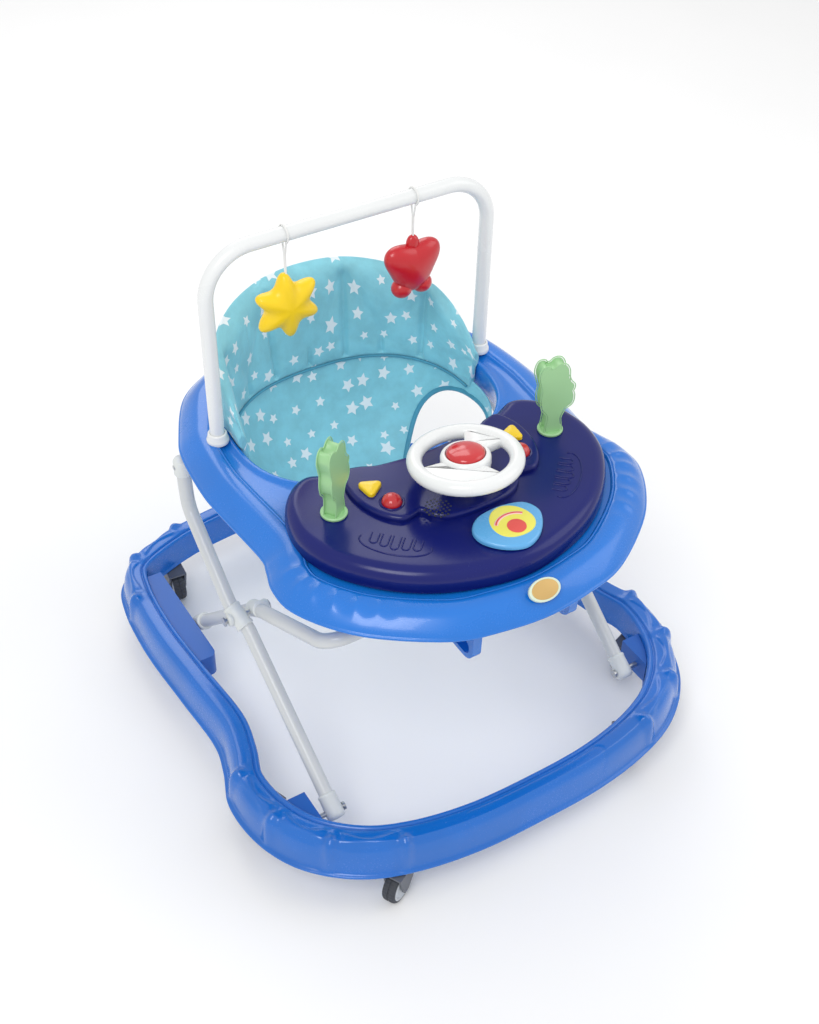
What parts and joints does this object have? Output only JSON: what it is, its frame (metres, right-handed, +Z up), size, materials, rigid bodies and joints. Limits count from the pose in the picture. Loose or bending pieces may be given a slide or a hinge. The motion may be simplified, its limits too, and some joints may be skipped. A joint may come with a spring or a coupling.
{
  "type": "baby walker",
  "caption": "Baby walker: caster base ring, folding crossed tube frames, play tray with steering wheel and buttons, toy bar, and padded fabric seat.",
  "frame": {"origin": "on the floor, under the middle of the base ring's bounding box", "axes": "+Z up; +Y towards the child's back (rear of the walker), -Y is the front where the steering wheel is; +X is the walker's left-to-right as seen by someone facing the front from -Y"},
  "size_m": [0.666, 0.736, 0.7094],
  "materials": {
    "ring_blue": "moulded, glossy",
    "ring_dark": "moulded, satin",
    "caster_grey": "moulded, satin",
    "wheel_grey": "moulded, satin, ribbed tread",
    "tube_steel": "light grey powder coat",
    "bright_steel": "zinc plated",
    "cap_white": "moulded, satin",
    "tray_blue": "moulded, glossy",
    "rack_dark": "moulded",
    "navy": "moulded, glossy",
    "badge_cream": "printed plastic, blank",
    "white_gloss": "moulded, glossy",
    "red_gloss": "moulded, glossy",
    "yellow_gloss": "moulded, glossy",
    "sky_gloss": "moulded, glossy",
    "green_gloss": "moulded, satin",
    "black_plastic": "moulded",
    "board_green": "solder mask",
    "battery_grey": "printed sleeve",
    "cord_white": "braided cord",
    "aqua_fabric": "satin weave with white stars",
    "star_yellow": "moulded vinyl, satin",
    "heart_red": "moulded vinyl, glossy"
  },
  "bodies": {
    "base": {"base_ring": "ring_blue", "caster_sockets": "ring_dark", "front_brackets": "ring_dark", "leg_foot_pins": "bright_steel", "side_rails": "ring_dark", "base_screws": "bright_steel"},
    "rear_legs": {"leg_left": "tube_steel", "leg_right": "tube_steel", "leg_foot_caps": "cap_white", "leg_top_caps": "cap_white", "leg_saddles": "cap_white", "cross_rivets": "bright_steel"},
    "front_legs": {"front_frame": "tube_steel", "slider_ends": "cap_white", "frame_saddles": "cap_white"},
    "tray": {"tray_shell": "tray_blue", "hinge_brackets": "tray_blue", "hinge_pins": "bright_steel", "height_rack": "rack_dark", "play_panel": "navy", "panel_base": "navy", "battery_door": "navy", "batteries": "battery_grey", "circuit_board": "board_green", "speaker": "black_plastic", "tray_badge": "badge_cream", "steering_column": "white_gloss", "toy_bar": "tube_steel", "bar_collars": "cap_white", "seat_back": "aqua_fabric", "seat_bucket": "aqua_fabric", "seat_clips": "cap_white"},
    "release": {"release_button": "red_gloss"},
    "steering": {"steering_wheel": "white_gloss"},
    "horn": {"horn_button": "red_gloss"},
    "yellow_left": {"yellow_button_left": "yellow_gloss"},
    "yellow_right": {"yellow_button_right": "yellow_gloss"},
    "red_left": {"red_button_left": "red_gloss"},
    "red_right": {"red_button_right": "red_gloss"},
    "song": {"song_plate": "sky_gloss"},
    "spinner_left": {"figure_left": "green_gloss"},
    "spinner_right": {"figure_right": "green_gloss"},
    "hanging_star": {"star": "star_yellow", "star_cord": "cord_white"},
    "hanging_heart": {"heart": "heart_red", "heart_cord": "cord_white"},
    "swivel_front_left": {"caster_front_left": "caster_grey"},
    "roller_front_left": {"wheel_front_left": "wheel_grey"},
    "swivel_front_right": {"caster_front_right": "caster_grey"},
    "roller_front_right": {"wheel_front_right": "wheel_grey"},
    "swivel_side_left": {"caster_side_left": "caster_grey"},
    "roller_side_left": {"wheel_side_left": "wheel_grey"},
    "swivel_side_right": {"caster_side_right": "caster_grey"},
    "roller_side_right": {"wheel_side_right": "wheel_grey"},
    "swivel_rear_left": {"caster_rear_left": "caster_grey"},
    "roller_rear_left": {"wheel_rear_left": "wheel_grey"},
    "swivel_rear_right": {"caster_rear_right": "caster_grey"},
    "roller_rear_right": {"wheel_rear_right": "wheel_grey"}
  },
  "joints": [
    {"name": "fold", "type": "hinge", "parent": "base", "child": "rear_legs", "pos_m": [0, -0.229, 0.079], "axis": [-1, 0, 0], "range_deg": [0, 20]},
    {"name": "cross_pivot", "type": "hinge", "parent": "rear_legs", "child": "front_legs", "pos_m": [0, 0.002, 0.233], "axis": [1, 0, 0], "range_deg": [0, 48.1]},
    {"name": "tray_pivot", "type": "hinge", "parent": "rear_legs", "child": "tray", "pos_m": [0, 0.143, 0.388], "axis": [1, 0, 0], "range_deg": [0, 26.5]},
    {"name": "swivel_front_left", "type": "hinge", "parent": "base", "child": "swivel_front_left", "pos_m": [-0.18015, -0.322, 0.026], "axis": [0, 0, 1], "continuous": true},
    {"name": "roll_front_left", "type": "hinge", "parent": "swivel_front_left", "child": "roller_front_left", "pos_m": [-0.19958, -0.33233, 0.026], "axis": [0.4695, -0.8829, 0], "continuous": true},
    {"name": "swivel_front_right", "type": "hinge", "parent": "base", "child": "swivel_front_right", "pos_m": [0.18015, -0.322, 0.026], "axis": [0, 0, 1], "continuous": true},
    {"name": "roll_front_right", "type": "hinge", "parent": "swivel_front_right", "child": "roller_front_right", "pos_m": [0.18585, -0.30075, 0.026], "axis": [-0.9659, 0.2588, 0], "continuous": true},
    {"name": "swivel_side_left", "type": "hinge", "parent": "base", "child": "swivel_side_left", "pos_m": [-0.309, -0.1656, 0.026], "axis": [0, 0, 1], "continuous": true},
    {"name": "roll_side_left", "type": "hinge", "parent": "swivel_side_left", "child": "roller_side_left", "pos_m": [-0.28833, -0.15808, 0.026], "axis": [-0.342, 0.9397, 0], "continuous": true},
    {"name": "swivel_side_right", "type": "hinge", "parent": "base", "child": "swivel_side_right", "pos_m": [0.309, -0.1656, 0.026], "axis": [0, 0, 1], "continuous": true},
    {"name": "roll_side_right", "type": "hinge", "parent": "swivel_side_right", "child": "roller_side_right", "pos_m": [0.28833, -0.17312, 0.026], "axis": [0.342, -0.9397, 0], "continuous": true},
    {"name": "swivel_rear_left", "type": "hinge", "parent": "base", "child": "swivel_rear_left", "pos_m": [-0.21312, 0.321, 0.026], "axis": [0, 0, 1], "continuous": true},
    {"name": "roll_rear_left", "type": "hinge", "parent": "swivel_rear_left", "child": "roller_rear_left", "pos_m": [-0.21504, 0.29908, 0.026], "axis": [0.9962, -0.0872, 0], "continuous": true},
    {"name": "swivel_rear_right", "type": "hinge", "parent": "base", "child": "swivel_rear_right", "pos_m": [0.21312, 0.321, 0.026], "axis": [0, 0, 1], "continuous": true},
    {"name": "roll_rear_right", "type": "hinge", "parent": "swivel_rear_right", "child": "roller_rear_right", "pos_m": [0.2056, 0.30033, 0.026], "axis": [0.9397, -0.342, 0], "continuous": true},
    {"name": "release_press", "type": "slide", "parent": "tray", "child": "release", "axis": [0, 0, 1], "range_m": [0, 0.003], "stiffness_N_per_m": 1200},
    {"name": "steer", "type": "hinge", "parent": "tray", "child": "steering", "pos_m": [0, -0.146, 0.503], "axis": [0, 0.1219, 0.9925], "range_deg": [-60, 60]},
    {"name": "horn_press", "type": "slide", "parent": "steering", "child": "horn", "axis": [0, -0.1219, -0.9925], "range_m": [0, 0.0015], "stiffness_N_per_m": 400},
    {"name": "yellow_left_press", "type": "slide", "parent": "tray", "child": "yellow_left", "axis": [0, 0, -1], "range_m": [0, 0.003], "stiffness_N_per_m": 500},
    {"name": "yellow_right_press", "type": "slide", "parent": "tray", "child": "yellow_right", "axis": [0, 0, -1], "range_m": [0, 0.003], "stiffness_N_per_m": 500},
    {"name": "red_left_press", "type": "slide", "parent": "tray", "child": "red_left", "axis": [0, 0, -1], "range_m": [0, 0.003], "stiffness_N_per_m": 500},
    {"name": "red_right_press", "type": "slide", "parent": "tray", "child": "red_right", "axis": [0, 0, -1], "range_m": [0, 0.003], "stiffness_N_per_m": 500},
    {"name": "song_press", "type": "slide", "parent": "tray", "child": "song", "axis": [0, 0, -1], "range_m": [0, 0.0015], "stiffness_N_per_m": 800},
    {"name": "spin_left", "type": "hinge", "parent": "tray", "child": "spinner_left", "pos_m": [-0.156, -0.106, 0.457], "axis": [0, 0, 1], "continuous": true},
    {"name": "spin_right", "type": "hinge", "parent": "tray", "child": "spinner_right", "pos_m": [0.156, -0.106, 0.457], "axis": [0, 0, 1], "continuous": true},
    {"name": "star_swing", "type": "hinge", "parent": "tray", "child": "hanging_star", "pos_m": [-0.093, 0.1185, 0.697], "axis": [1, 0, 0], "range_deg": [-35, 35]},
    {"name": "heart_swing", "type": "hinge", "parent": "tray", "child": "hanging_heart", "pos_m": [0.087, 0.1185, 0.697], "axis": [1, 0, 0], "range_deg": [-35, 35]}
  ],
  "couplings": [
    {"joint": "cross_pivot", "follows": "fold", "ratio": 2.4},
    {"joint": "tray_pivot", "follows": "fold", "ratio": 1.32}
  ]
}
